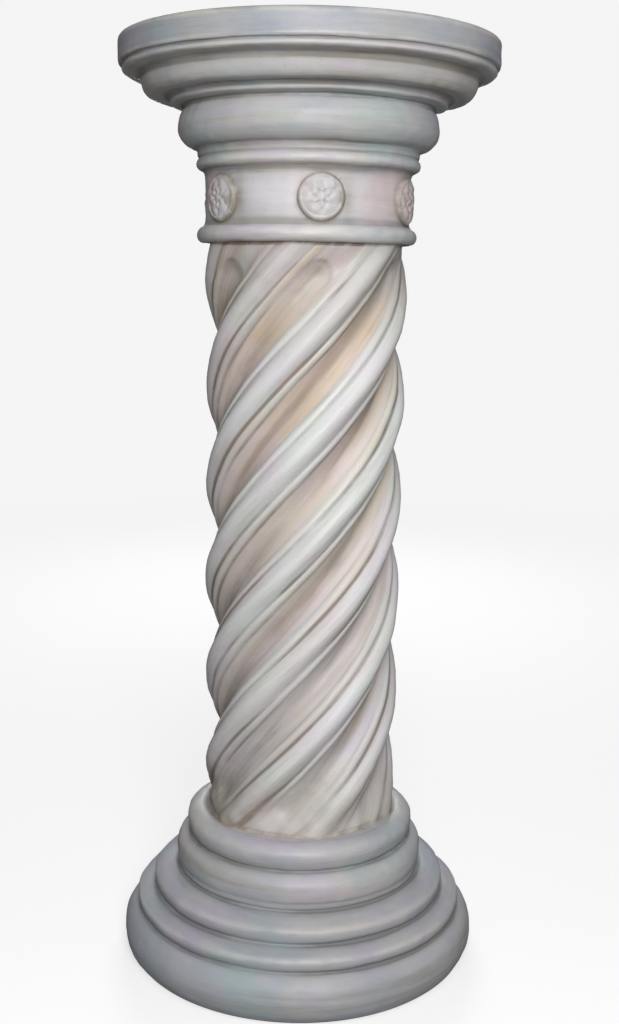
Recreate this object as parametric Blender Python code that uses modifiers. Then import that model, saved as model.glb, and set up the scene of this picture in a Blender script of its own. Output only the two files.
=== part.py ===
"""Display pedestal: one casting with a stepped round base, a twisted fluted shaft and a moulded round cap.

Metres, +Z up. The origin is the centre of the underside, which stands on the floor.
Every moulding is drawn as a projection from the one above or below it, so the
shaft's radius carries the whole turned outline with it.
"""
import math

import bmesh
import bpy

MM = 0.001

# Smoothness of the turned forms
TURNED_SIDES = 40
ASTRAGAL_STEPS = 2
SMALL_ROLL_STEPS = 2
LARGE_ROLL_STEPS = 3
SHARP_EDGE_DEG = 32.0
BEAD_COLUMN_COUNT = 2
FLUTE_COLUMN_COUNT = 4
REED_COLUMN_COUNT = 3
SHAFT_END_ROW_COUNT = 4

# Shaft: six twisted strands, each one a bead, a hollow flute, a bead and a broad reed
STRAND_COUNT = 6
SHAFT_RADIUS = 98.0 * MM
SHAFT_HEIGHT = 565.5 * MM
TWIST_LEAD = 589.0 * MM
FIRST_BEAD_TURN_DEG = 19.9
REED_BULGE = 5.5 * MM
BEAD_BULGE = 2.2 * MM
FLUTE_DEPTH = 6.5 * MM
ROPE_DEPTH = 8.5 * MM
ROPE_FADE = 30.0 * MM
FLUTE_FOOT_MARGIN = 22.0 * MM
FLUTE_HEAD_MARGIN = 28.0 * MM
SHAFT_ROW_RISE = 28.0 * MM
SHAFT_END_ROW_RISE = 8.0 * MM

# Shares of a strand's width that its four mouldings take
BEAD_SHARE = 0.125
FLUTE_SHARE = 0.39

# Base, from the ledge under the shaft down to the floor
BASE_LEDGE = 3.2 * MM
COLLAR_OUT = 15.3 * MM
COLLAR_SHOULDER = 12.0 * MM
COLLAR_BACK = 5.0 * MM
COLLAR_UNDER = 14.5 * MM
SECOND_ROLL_OUT = 15.5 * MM
SECOND_ROLL_SHOULDER = 15.0 * MM
SECOND_ROLL_BACK = 4.0 * MM
SECOND_ROLL_UNDER = 12.5 * MM
BASE_FILLET_OUT = 2.5 * MM
BASE_FILLET_HEIGHT = 5.5 * MM
BASE_FILLET_SLOPE = 0.8 * MM
THIRD_ROLL_OUT = 27.0 * MM
THIRD_ROLL_SHOULDER = 11.5 * MM
THIRD_ROLL_BACK = 4.5 * MM
THIRD_ROLL_UNDER = 11.5 * MM
FOURTH_ROLL_OUT = 22.0 * MM
FOURTH_ROLL_SHOULDER = 8.5 * MM
FOURTH_ROLL_BACK = 4.5 * MM
FOURTH_ROLL_UNDER = 10.0 * MM
FOOT_OUT = 18.0 * MM
FOOT_SHOULDER = 23.0 * MM
FOOT_BACK = 13.0 * MM
FOOT_UNDER = 24.0 * MM

# Cap, from the astragal over the shaft up to the flat top
CAP_LEDGE = 2.4 * MM
LOW_ASTRAGAL_OUT = 8.0 * MM
LOW_ASTRAGAL_HEIGHT = 16.7 * MM
NECK_RADIUS = 98.5 * MM
NECK_HEIGHT = 49.8 * MM
HIGH_ASTRAGAL_OUT = 8.9 * MM
HIGH_ASTRAGAL_HEIGHT = 12.7 * MM
CAP_FILLET_OUT = 7.4 * MM
CAP_FILLET_HEIGHT = 7.4 * MM
CAP_FILLET_STEP = 2.5 * MM
ECHINUS_UNDER_OUT = 18.7 * MM
ECHINUS_UNDER_HEIGHT = 17.9 * MM
ECHINUS_SHOULDER_IN = 8.0 * MM
ECHINUS_SHOULDER_HEIGHT = 19.6 * MM
SOFFIT_OUT = 15.0 * MM
SOFFIT_HEIGHT = 2.5 * MM
STEP_HEIGHT = 6.6 * MM
STEP_OUT = 16.9 * MM
OVOLO_OUT = 10.7 * MM
OVOLO_HEIGHT = 18.3 * MM
COVE_OUT = 11.8 * MM
COVE_HEIGHT = 2.0 * MM
BEAD_OUT = 5.3 * MM
BEAD_BACK = 2.2 * MM
BEAD_HEIGHT = 7.0 * MM
RIM_OUT = 5.1 * MM
RIM_HEIGHT = 24.4 * MM
RIM_EDGE = 3.5 * MM

# Rosette medallions around the neck
MEDALLION_COUNT = 6
MEDALLION_RADIUS = 21.5 * MM
MEDALLION_RELIEF = 3.2 * MM
MEDALLION_FIRST_DEG = 7.0
MEDALLION_RISE = 23.0 * MM
ROSETTE_PETAL_COUNT = 6
ROSETTE_BOSS_RADIUS = 6.0 * MM
ROSETTE_BOSS_HEIGHT = 2.2 * MM
ROSETTE_PETAL_RADIUS = 12.5 * MM
ROSETTE_PETAL_HEIGHT = 1.8 * MM
ROSETTE_PETAL_ROOT_HEIGHT = 1.3 * MM
ROSETTE_FRAME_WIDTH = 3.5 * MM
ROSETTE_FRAME_HEIGHT = 1.6 * MM

# How deep one form is let into the next before they are united
JOIN_DEPTH = 6.0 * MM


def clear_scene():
    for item in list(bpy.data.objects):
        bpy.data.objects.remove(item, do_unlink=True)


def new_collection(name):
    collection = bpy.data.collections.new(name)
    bpy.context.scene.collection.children.link(collection)
    return collection


def cast_stone():
    material = bpy.data.materials.new("cast_stone")
    material.use_nodes = True
    shader = material.node_tree.nodes["Principled BSDF"]
    shader.inputs["Base Color"].default_value = (0.56, 0.54, 0.53, 1.0)
    shader.inputs["Roughness"].default_value = 0.62
    shader.inputs["Metallic"].default_value = 0.0
    return material


def step(outline, out, drop):
    """Draws a straight edge from the last point, outwards and down."""
    radius, height = outline[-1]
    outline.append((radius + out, height - drop))


def quarter(outline, out, drop, steps, level_first):
    """Draws a quarter ellipse from the last point; it leaves level or upright."""
    radius, height = outline[-1]
    for count in range(1, steps + 1):
        angle = math.pi / 2 * count / steps
        if level_first:
            share_out, share_down = math.sin(angle), 1 - math.cos(angle)
        else:
            share_out, share_down = 1 - math.cos(angle), math.sin(angle)
        outline.append((radius + out * share_out, height - drop * share_down))


def roll(outline, out, shoulder, back, under, steps):
    """Draws a bulging moulding downwards: out over its shoulder to the belly, then back in under it."""
    quarter(outline, out, shoulder, steps, True)
    quarter(outline, -back, under, steps, False)


def base_outline():
    """Outline of the base from the axis at its top, down its outer side, to the axis at the floor."""
    drops = (
        COLLAR_SHOULDER, COLLAR_UNDER, SECOND_ROLL_SHOULDER, SECOND_ROLL_UNDER,
        2 * BASE_FILLET_SLOPE, BASE_FILLET_HEIGHT, THIRD_ROLL_SHOULDER, THIRD_ROLL_UNDER,
        FOURTH_ROLL_SHOULDER, FOURTH_ROLL_UNDER, FOOT_SHOULDER, FOOT_UNDER,
    )
    height = sum(drops)
    outline = [(0.0, height), (SHAFT_RADIUS + BASE_LEDGE, height)]
    roll(outline, COLLAR_OUT, COLLAR_SHOULDER, COLLAR_BACK, COLLAR_UNDER, LARGE_ROLL_STEPS)
    roll(outline, SECOND_ROLL_OUT, SECOND_ROLL_SHOULDER, SECOND_ROLL_BACK, SECOND_ROLL_UNDER,
         LARGE_ROLL_STEPS)
    step(outline, BASE_FILLET_OUT, BASE_FILLET_SLOPE)
    step(outline, 0.0, BASE_FILLET_HEIGHT)
    step(outline, -BASE_FILLET_OUT, BASE_FILLET_SLOPE)
    roll(outline, THIRD_ROLL_OUT, THIRD_ROLL_SHOULDER, THIRD_ROLL_BACK, THIRD_ROLL_UNDER,
         LARGE_ROLL_STEPS)
    roll(outline, FOURTH_ROLL_OUT, FOURTH_ROLL_SHOULDER, FOURTH_ROLL_BACK, FOURTH_ROLL_UNDER,
         SMALL_ROLL_STEPS)
    roll(outline, FOOT_OUT, FOOT_SHOULDER, FOOT_BACK, FOOT_UNDER, LARGE_ROLL_STEPS)
    radius = outline[-1][0]
    outline[-1] = (radius, 0.0)
    outline.append((0.0, 0.0))
    return outline


def cap_outline(bottom):
    """Outline of the cap, drawn upwards from its underside and then turned round to run down."""
    outline = [(0.0, bottom), (SHAFT_RADIUS + CAP_LEDGE, bottom)]
    half = LOW_ASTRAGAL_HEIGHT / 2
    belly = NECK_RADIUS + LOW_ASTRAGAL_OUT
    quarter(outline, belly - outline[-1][0], -half, ASTRAGAL_STEPS, True)
    quarter(outline, -LOW_ASTRAGAL_OUT, -half, ASTRAGAL_STEPS, False)
    step(outline, 0.0, -NECK_HEIGHT)
    half = HIGH_ASTRAGAL_HEIGHT / 2
    quarter(outline, HIGH_ASTRAGAL_OUT, -half, ASTRAGAL_STEPS, True)
    quarter(outline, CAP_FILLET_OUT - HIGH_ASTRAGAL_OUT - CAP_FILLET_STEP, -half, ASTRAGAL_STEPS, False)
    step(outline, CAP_FILLET_STEP, 0.0)
    step(outline, 0.0, -CAP_FILLET_HEIGHT)
    quarter(outline, ECHINUS_UNDER_OUT, -ECHINUS_UNDER_HEIGHT, LARGE_ROLL_STEPS, True)
    quarter(outline, -ECHINUS_SHOULDER_IN, -ECHINUS_SHOULDER_HEIGHT, SMALL_ROLL_STEPS, False)
    step(outline, SOFFIT_OUT, -SOFFIT_HEIGHT)
    step(outline, 0.0, -STEP_HEIGHT)
    step(outline, STEP_OUT, 0.0)
    quarter(outline, OVOLO_OUT, -OVOLO_HEIGHT, LARGE_ROLL_STEPS, True)
    step(outline, COVE_OUT, -COVE_HEIGHT)
    half = BEAD_HEIGHT / 2
    quarter(outline, BEAD_OUT, -half, ASTRAGAL_STEPS, True)
    quarter(outline, -BEAD_BACK, -half, ASTRAGAL_STEPS, False)
    step(outline, RIM_OUT, 0.0)
    step(outline, 0.0, -(RIM_HEIGHT - RIM_EDGE))
    quarter(outline, -RIM_EDGE, -RIM_EDGE, SMALL_ROLL_STEPS, False)
    outline.append((0.0, outline[-1][1]))
    outline.reverse()
    return outline


def turned(name, outline, collection):
    """Turns an outline around the Z axis into one closed body."""
    mesh = bpy.data.meshes.new(name)
    points = [(radius, 0.0, height) for radius, height in outline]
    edges = [(index, index + 1) for index in range(len(points) - 1)]
    mesh.from_pydata(points, edges, [])
    body = bpy.data.objects.new(name, mesh)
    collection.objects.link(body)
    screw = body.modifiers.new("turn", "SCREW")
    screw.axis = "Z"
    screw.angle = math.tau
    screw.steps = TURNED_SIDES
    screw.render_steps = TURNED_SIDES
    screw.use_merge_vertices = True
    screw.merge_threshold = 0.00001
    screw.use_smooth_shade = True
    return body


def bulge(place, centre, half_width):
    """One at the centre of a moulding and nothing at its edges, along a parabola."""
    share = min(1.0, abs(place - centre) / half_width)
    return 1 - share * share


def ease(share):
    share = min(1.0, max(0.0, share))
    return share * share * (3 - 2 * share)


def strand_places():
    """Where the points of one strand lie across it, and the centres of its four mouldings."""
    bead, flute = BEAD_SHARE, FLUTE_SHARE
    reed = 1 - 2 * bead - flute
    edges = (0.0, bead, bead + flute, 2 * bead + flute)
    widths = (bead, flute, bead, reed)
    counts = (BEAD_COLUMN_COUNT, FLUTE_COLUMN_COUNT, BEAD_COLUMN_COUNT, REED_COLUMN_COUNT)
    places = []
    for edge, width, count in zip(edges, widths, counts):
        places += [edge + width * number / count for number in range(count)]
    centres = [edge + width / 2 for edge, width in zip(edges, widths)]
    return places, centres, widths


def flute_reach(across, rise):
    """Share of the flute's depth at a point: full on its centre line, nothing at its edges and round ends."""
    circumference = math.tau * SHAFT_RADIUS
    climb = math.atan2(TWIST_LEAD, circumference)
    sideways = across * circumference / STRAND_COUNT
    below = FLUTE_FOOT_MARGIN - rise
    above = rise - (SHAFT_HEIGHT - FLUTE_HEAD_MARGIN)
    past = max(below / math.sin(climb) - sideways * math.cos(climb),
               above / math.sin(climb) + sideways * math.cos(climb), 0.0)
    half_width = FLUTE_SHARE / 2 * circumference / STRAND_COUNT * math.sin(climb)
    distance = math.hypot(sideways * math.sin(climb), past)
    share = min(1.0, distance / half_width)
    return 1 - share * share


def strand_radius(place, rise, centres, widths):
    """Distance from the axis to the shaft's face, at a place across a strand and a rise above its foot."""
    bead_low, flute, bead_high, reed = centres
    rope = (1 - math.cos(math.tau * (place - reed))) / 2
    rope *= ease(rise / ROPE_FADE) * ease((SHAFT_HEIGHT - rise) / ROPE_FADE)
    radius = SHAFT_RADIUS - REED_BULGE - ROPE_DEPTH * rope
    radius += REED_BULGE * bulge(place, reed, widths[3] / 2)
    radius += BEAD_BULGE * bulge(place, bead_low, widths[0] / 2)
    radius += BEAD_BULGE * bulge(place, bead_high, widths[2] / 2)
    return radius - FLUTE_DEPTH * flute_reach(place - flute, rise)


def shaft_rises():
    """Heights of the shaft's rows above its foot, closer together where the flutes end."""
    close = [SHAFT_END_ROW_RISE * number for number in range(1, SHAFT_END_ROW_COUNT + 1)]
    low, high = close[-1], SHAFT_HEIGHT - close[-1]
    rows = max(2, round((high - low) / SHAFT_ROW_RISE))
    middle = [low + (high - low) * number / rows for number in range(1, rows)]
    top = [SHAFT_HEIGHT - rise for rise in reversed(close)]
    return [-JOIN_DEPTH] + close + middle + top + [SHAFT_HEIGHT + JOIN_DEPTH]


def twisted_shaft(name, foot, collection):
    """Lofts the shaft through rows that turn with the twist, so the edges follow every bead and flute."""
    places, centres, widths = strand_places()
    shape = bmesh.new()
    rows = []
    for rise in shaft_rises():
        row = []
        for strand in range(STRAND_COUNT):
            for place in places:
                turn = math.tau * ((strand + place) / STRAND_COUNT + rise / TWIST_LEAD)
                turn += math.radians(FIRST_BEAD_TURN_DEG)
                inside = min(SHAFT_HEIGHT, max(0.0, rise))
                radius = strand_radius(place, inside, centres, widths)
                row.append(shape.verts.new((radius * math.sin(turn), -radius * math.cos(turn), foot + rise)))
        rows.append(row)
    count = len(rows[0])
    for low, high in zip(rows[:-1], rows[1:]):
        for index in range(count):
            after = (index + 1) % count
            shape.faces.new((low[index], low[after], high[index]))
            shape.faces.new((low[after], high[after], high[index]))
    shape.faces.new(list(reversed(rows[0])))
    shape.faces.new(rows[-1])
    mesh = bpy.data.meshes.new(name)
    shape.to_mesh(mesh)
    shape.free()
    body = bpy.data.objects.new(name, mesh)
    collection.objects.link(body)
    return body


def rosette_rings():
    """Each ring's radius, its height on a petal's ridge and its height between two petals."""
    return (
        (ROSETTE_BOSS_RADIUS, ROSETTE_PETAL_ROOT_HEIGHT, 0.0),
        (ROSETTE_PETAL_RADIUS, ROSETTE_PETAL_HEIGHT, 0.0),
        (MEDALLION_RADIUS - ROSETTE_FRAME_WIDTH, ROSETTE_FRAME_HEIGHT, ROSETTE_FRAME_HEIGHT),
        (MEDALLION_RADIUS, 0.0, 0.0),
    )


def medallion(name, turn, height, collection):
    """A round disc with a rosette on its face, bent around the neck and let into it."""
    sides = 2 * ROSETTE_PETAL_COUNT
    shape = bmesh.new()
    centre = shape.verts.new((0.0, 0.0, MEDALLION_RELIEF + ROSETTE_BOSS_HEIGHT))
    rings = []
    for radius, ridge, valley in rosette_rings():
        ring = []
        for side in range(sides):
            angle = math.tau * side / sides
            lift = MEDALLION_RELIEF + (ridge if side % 2 == 0 else valley)
            ring.append(shape.verts.new((radius * math.cos(angle), radius * math.sin(angle), lift)))
        rings.append(ring)
    root = [shape.verts.new((vert.co.x, vert.co.y, -JOIN_DEPTH)) for vert in rings[-1]]
    rings.append(root)
    for side in range(sides):
        after = (side + 1) % sides
        shape.faces.new((centre, rings[0][side], rings[0][after]))
        crest, hollow = (side, after) if side % 2 == 0 else (after, side)
        for inner, outer in zip(rings[:-1], rings[1:]):
            for corners in ((inner[crest], outer[crest], outer[hollow]),
                            (inner[crest], outer[hollow], inner[hollow])):
                shape.faces.new(corners if crest == side else tuple(reversed(corners)))
    shape.faces.new(list(reversed(root)))
    for vert in shape.verts:
        aside, upright, lift = vert.co
        angle = turn + aside / NECK_RADIUS
        radius = NECK_RADIUS + lift
        vert.co = (radius * math.sin(angle), -radius * math.cos(angle), height + upright)
    mesh = bpy.data.meshes.new(name)
    shape.to_mesh(mesh)
    shape.free()
    body = bpy.data.objects.new(name, mesh)
    collection.objects.link(body)
    return body


def unite(body, form):
    """Joins a form to the body; the form itself stays only as a guide."""
    form.hide_render = True
    form.display_type = "WIRE"
    join = body.modifiers.new("unite_" + form.name, "BOOLEAN")
    join.operation = "UNION"
    join.solver = "EXACT"
    join.object = form


def build():
    clear_scene()
    parts = new_collection("display_pedestal")
    forms = new_collection("joined_forms")
    base = base_outline()
    base_top = base[0][1]
    cap_bottom = base_top + SHAFT_HEIGHT
    pedestal = turned("pedestal", base, parts)
    pedestal.data.materials.append(cast_stone())
    unite(pedestal, twisted_shaft("shaft_form", base_top, forms))
    unite(pedestal, turned("cap_form", cap_outline(cap_bottom), forms))
    medallion_height = cap_bottom + LOW_ASTRAGAL_HEIGHT + MEDALLION_RISE
    for number in range(MEDALLION_COUNT):
        turn = math.radians(MEDALLION_FIRST_DEG) + math.tau * number / MEDALLION_COUNT
        unite(pedestal, medallion("medallion_form_%d" % (number + 1), turn, medallion_height, forms))
    graph = bpy.context.evaluated_depsgraph_get()
    casting = bpy.data.meshes.new_from_object(pedestal.evaluated_get(graph))
    pedestal.modifiers.clear()
    pedestal.data = casting
    casting.shade_smooth()
    casting.set_sharp_from_angle(angle=math.radians(SHARP_EDGE_DEG))


build()
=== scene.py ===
# %% [markdown]
# # A twisted display pedestal
# This lesson dresses one cast pedestal: a stepped round base, a shaft of six twisted strands,
# a neck with round rosettes and a moulded cap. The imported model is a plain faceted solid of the
# same form, and it is the frame that everything here has to fit. It is loaded first and never
# moved or changed.

# %% Load the frame
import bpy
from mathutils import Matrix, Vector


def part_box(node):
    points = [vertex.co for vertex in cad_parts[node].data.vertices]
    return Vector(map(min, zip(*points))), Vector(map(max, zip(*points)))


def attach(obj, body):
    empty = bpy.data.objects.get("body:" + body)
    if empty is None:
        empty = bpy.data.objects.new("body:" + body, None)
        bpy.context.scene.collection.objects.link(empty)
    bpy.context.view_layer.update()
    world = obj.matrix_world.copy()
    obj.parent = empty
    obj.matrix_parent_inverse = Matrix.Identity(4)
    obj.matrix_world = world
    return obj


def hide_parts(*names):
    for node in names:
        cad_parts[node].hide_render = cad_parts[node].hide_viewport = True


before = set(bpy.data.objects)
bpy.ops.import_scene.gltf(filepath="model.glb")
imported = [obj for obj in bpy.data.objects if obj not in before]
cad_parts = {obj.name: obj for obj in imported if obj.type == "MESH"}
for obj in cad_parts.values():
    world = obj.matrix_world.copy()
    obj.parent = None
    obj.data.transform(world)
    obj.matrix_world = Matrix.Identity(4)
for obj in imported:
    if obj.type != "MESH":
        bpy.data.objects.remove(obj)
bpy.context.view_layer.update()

# %% Tools and units
import math
from types import SimpleNamespace
import bpy
import numpy as np
from mathutils import Matrix, Vector

MM = 0.001
node_low, node_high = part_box("pedestal")
HEIGHT = node_high[2] - node_low[2]
print("height of the casting: %.4f m" % HEIGHT)

# %% [markdown]
# ## The camera
# The photograph was taken from sitting height, close to the pedestal, looking a little down.
# The eye's distance and height were found by matching the round edges of the mouldings, which
# open into ellipses at a rate that only one eye height gives. The picture also leans by a degree,
# so the camera is turned by that much around its own line of sight.

# %% Camera
EYE_DISTANCE = 1.2683
EYE_HEIGHT = 0.6804
LOOK_DOWN = math.radians(10.13)
LOOK_RIGHT = math.radians(0.277)
LEAN = math.radians(0.853)
LENS_MM = 45.30
SENSOR_MM = 36.0


def camera_axes():
    """The line of sight, turned down and right, and the picture's right and up, turned by the lean."""
    level = math.cos(LOOK_DOWN)
    sight = Vector((math.sin(LOOK_RIGHT) * level, math.cos(LOOK_RIGHT) * level, -math.sin(LOOK_DOWN)))
    right = Vector((math.cos(LOOK_RIGHT), -math.sin(LOOK_RIGHT), 0.0))
    up = right.cross(sight)
    leaned_right = right * math.cos(LEAN) + up * math.sin(LEAN)
    leaned_up = up * math.cos(LEAN) - right * math.sin(LEAN)
    return leaned_right, leaned_up, sight


lens = bpy.data.cameras.new("photograph_view")
lens.lens = LENS_MM
lens.sensor_width = SENSOR_MM
camera = bpy.data.objects.new("photograph_view", lens)
bpy.context.scene.collection.objects.link(camera)
right, up, sight = camera_axes()
facing = Matrix((right, up, -sight)).transposed().to_4x4()
camera.matrix_world = Matrix.Translation((0.0, -EYE_DISTANCE, EYE_HEIGHT)) @ facing
bpy.context.scene.camera = camera
print("camera looks along", tuple(round(v, 3) for v in sight))

# %% [markdown]
# ## The turned outline
# Base and cap are bodies of revolution: a maker pulls a shaped template round the wet stone.
# The template is drawn as a chain of straight edges and quarter ellipses. Each is a number
# of points in an array of (radius, height) pairs, spaced closely enough that a roll looks round.
# Last, the whole chain is softened a little, because casting never leaves a knife edge.

# %% Drawing an outline
ROW_SPACING = 2.0 * MM
FINE_SPACING = 1.0 * MM
ARC_PER_CHORD = 1.11


def straight(outline, out, rise, spacing=ROW_SPACING):
    """Straight edge: the last point plus equal shares of (out, rise)."""
    count = max(1, round(math.hypot(out, rise) / spacing))
    share = np.arange(1, count + 1)[:, None] / count
    return np.vstack([outline, outline[-1] + share * np.array([out, rise])])


def quarter(outline, out, rise, level_first):
    """Quarter ellipse: sine of the angle goes one way and one minus its cosine goes the other."""
    count = max(3, round(ARC_PER_CHORD * math.hypot(out, rise) / ROW_SPACING))
    angle = np.arange(1, count + 1) / count * math.pi / 2
    ahead, beside = np.sin(angle), 1 - np.cos(angle)
    shares = np.column_stack([ahead, beside] if level_first else [beside, ahead])
    return np.vstack([outline, outline[-1] + shares * np.array([out, rise])])


def softened(outline, times):
    """Each point but the ends becomes half itself and a quarter of both neighbours, several times over."""
    for _ in range(times):
        inner = outline[1:-1] / 2 + (outline[:-2] + outline[2:]) / 4
        outline = np.vstack([outline[:1], inner, outline[-1:]])
    return outline


def half_round(outline, out, back, height):
    """A half-round bead: a quarter ellipse out to its belly and another back in, of equal heights."""
    outline = quarter(outline, out, height / 2, True)
    return quarter(outline, -back, height / 2, False)


print("a bead of 8 mm takes %d points" % len(half_round(np.zeros((1, 2)), 8 * MM, 8 * MM, 16 * MM)))

# %% [markdown]
# ## The base
# Five rolls stand on each other, each set back from the one below. A roll is drawn from its lower
# edge out to its belly and then in over its shoulder. A small upright fillet parts the third roll
# from the second, so that a thin line of shade runs round between them.

# %% The base, from the floor up
SHAFT_RADIUS = 98.0 * MM
FOOT_FLAT_RADIUS = 168.0 * MM
UNDERSIDE_SPACING = 40.0 * MM
FLAT_EDGE_RUN = 1.5 * MM
ROLLS = (
    # name, lower edge out to the belly, height of that, belly in to the upper edge, height of that
    ("foot", 13.0 * MM, 24.0 * MM, 18.0 * MM, 23.0 * MM),
    ("fourth roll", 4.5 * MM, 10.0 * MM, 22.0 * MM, 8.5 * MM),
    ("third roll", 4.5 * MM, 11.5 * MM, 27.0 * MM, 11.5 * MM),
    ("second roll", 4.0 * MM, 12.5 * MM, 15.5 * MM, 15.0 * MM),
    ("collar", 5.0 * MM, 14.5 * MM, 15.3 * MM, 12.0 * MM),
)
BASE_FILLET_OUT = 2.5 * MM
BASE_FILLET_HEIGHT = 5.5 * MM
BASE_FILLET_SLOPE = 0.8 * MM
BASE_FILLET_SOFTENED = 0.8 * MM
BASE_SOFTENING = 3


def base_outline():
    """Outline of the base from the middle of the underside out to the foot and up to the shaft."""
    outline = np.array([[FOOT_FLAT_RADIUS / 2, 0.0]])
    outline = straight(outline, FOOT_FLAT_RADIUS / 2 - FLAT_EDGE_RUN, 0.0, UNDERSIDE_SPACING)
    outline = straight(outline, FLAT_EDGE_RUN, 0.0, FINE_SPACING)
    for name, back, under, out, shoulder in ROLLS:
        tucked = BASE_FILLET_OUT - BASE_FILLET_SOFTENED if name == "second roll" else 0.0
        outline = quarter(outline, back - tucked, under, True)
        outline = quarter(outline, -out, shoulder, False)
        if name == "third roll":
            outline = straight(outline, BASE_FILLET_OUT, BASE_FILLET_SLOPE, FINE_SPACING)
            outline = straight(outline, 0.0, BASE_FILLET_HEIGHT)
            outline = straight(outline, -BASE_FILLET_SOFTENED, BASE_FILLET_SLOPE, FINE_SPACING)
    return softened(outline, BASE_SOFTENING)


base = base_outline()
BASE_TOP = base[-1, 1]
print("base: %d rows, top at %.4f m, radius there %.4f m" % (len(base), BASE_TOP, base[-1, 0]))

# %% [markdown]
# ## The cap
# The same tools draw the cap upwards: an astragal, the plain neck, a second astragal with a
# fillet, the fat echinus, a step, the ovolo with a bead above it, and the upright rim. The flat
# top ends in a point at the middle, like the underside.

# %% The cap, from the astragal up to the flat top
SHAFT_HEIGHT = 565.5 * MM
CAP_BOTTOM = BASE_TOP + SHAFT_HEIGHT
CAP_LEDGE = 2.4 * MM
NECK_RADIUS = 98.5 * MM
NECK_HEIGHT = 49.8 * MM
NECK_SPACING = 4.0 * MM
LOW_ASTRAGAL_OUT = 8.0 * MM
LOW_ASTRAGAL_HEIGHT = 16.7 * MM
HIGH_ASTRAGAL_OUT = 8.9 * MM
HIGH_ASTRAGAL_HEIGHT = 12.7 * MM
CAP_FILLET_OUT = 7.4 * MM
CAP_FILLET_HEIGHT = 7.4 * MM
CAP_FILLET_STEP = 2.5 * MM
ECHINUS_UNDER = (18.7 * MM, 17.9 * MM)
ECHINUS_SHOULDER = (-8.0 * MM, 19.6 * MM)
SOFFIT = (15.0 * MM, 2.5 * MM)
STEP_HEIGHT = 6.6 * MM
STEP_OUT = 16.9 * MM
OVOLO = (10.7 * MM, 18.3 * MM)
COVE = (11.8 * MM, 2.0 * MM)
BEAD_OUT = 5.3 * MM
BEAD_BACK = 2.2 * MM
BEAD_HEIGHT = 7.0 * MM
RIM_OUT = 5.1 * MM
RIM_HEIGHT = 24.4 * MM
RIM_EDGE = 3.5 * MM
RIM_SPACING = 3.0 * MM
TOP_SPACING = 30.0 * MM
TOP_MIDDLE = 20.0 * MM
CAP_SOFTENING = 2


def cap_outline():
    """Outline of the cap from its lower edge up past the neck, the mouldings and the rim to the top."""
    outline = np.array([[SHAFT_RADIUS + CAP_LEDGE, CAP_BOTTOM]])
    belly = NECK_RADIUS + LOW_ASTRAGAL_OUT - outline[0, 0]
    outline = half_round(outline, belly, LOW_ASTRAGAL_OUT, LOW_ASTRAGAL_HEIGHT)
    outline = straight(outline, 0.0, NECK_HEIGHT, NECK_SPACING)
    back = HIGH_ASTRAGAL_OUT - CAP_FILLET_OUT + CAP_FILLET_STEP
    outline = half_round(outline, HIGH_ASTRAGAL_OUT, back, HIGH_ASTRAGAL_HEIGHT)
    outline = straight(outline, CAP_FILLET_STEP, 0.0, FINE_SPACING)
    outline = straight(outline, 0.0, CAP_FILLET_HEIGHT)
    outline = quarter(outline, *ECHINUS_UNDER, True)
    outline = quarter(outline, *ECHINUS_SHOULDER, False)
    outline = straight(outline, *SOFFIT)
    outline = straight(outline, 0.0, STEP_HEIGHT)
    outline = straight(outline, STEP_OUT, 0.0)
    outline = quarter(outline, *OVOLO, True)
    outline = straight(outline, *COVE)
    outline = half_round(outline, BEAD_OUT, BEAD_BACK, BEAD_HEIGHT)
    outline = straight(outline, RIM_OUT, 0.0)
    outline = straight(outline, 0.0, RIM_HEIGHT - RIM_EDGE, RIM_SPACING)
    outline = quarter(outline, -RIM_EDGE, RIM_EDGE, False)
    outline = straight(outline, -FLAT_EDGE_RUN, 0.0, FINE_SPACING)
    outline = straight(outline, TOP_MIDDLE - outline[-1, 0], 0.0, TOP_SPACING)
    return softened(outline, CAP_SOFTENING)


cap = cap_outline()
print("cap: %d rows, from %.4f m to %.4f m" % (len(cap), CAP_BOTTOM, cap[:, 1].max()))

# %% [markdown]
# ## The twisted shaft
# Seen in section, each of the six strands is a thin bead, a hollow flute, another thin bead and
# a broad reed, and the whole strand also swells like a rope's. Going up, the section turns. So one
# formula for the radius, of the place across a strand and the rise up the shaft, gives the form.
# The flutes grow shallow and stop short of both ends in round hollows, as a gouge leaves them.

# %% Places across a strand
STRANDS = 6
TWIST_LEAD = 589.0 * MM
FIRST_BEAD_TURN = math.radians(19.9)
BEAD_SHARE = 0.125
FLUTE_SHARE = 0.39
REED_SHARE = 1 - 2 * BEAD_SHARE - FLUTE_SHARE
BEAD_LOW = BEAD_SHARE / 2
FLUTE = BEAD_SHARE + FLUTE_SHARE / 2
BEAD_HIGH = BEAD_SHARE * 1.5 + FLUTE_SHARE
REED = 1 - REED_SHARE / 2
STRAND_WIDTH = math.tau * SHAFT_RADIUS / STRANDS
CLIMB = math.atan2(TWIST_LEAD, math.tau * SHAFT_RADIUS)
GROOVE_SHARE = 0.021


def ease(share):
    """Smooth step from nothing to one: three squares less two cubes."""
    share = np.clip(share, 0.0, 1.0)
    return share * share * (3 - 2 * share)


def grown(start, share):
    """From a start value to one: the start plus a share of what is missing."""
    return start + (1 - start) * share


def across(place, centre):
    """Signed distance across the strands from a moulding's centre, in shares of a strand, wrapped round."""
    return (place - centre + 0.5) % 1.0 - 0.5


def bulge(place, centre, half_width, power=2.0):
    """One at a moulding's centre and nothing at its edges: one minus the distance to a power."""
    return 1 - np.minimum(1.0, np.abs(across(place, centre)) / half_width) ** power


def bell(distance, width):
    """A bell curve: e to the power of minus the squared distance in widths."""
    return np.exp(-(distance / width) ** 2)


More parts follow.
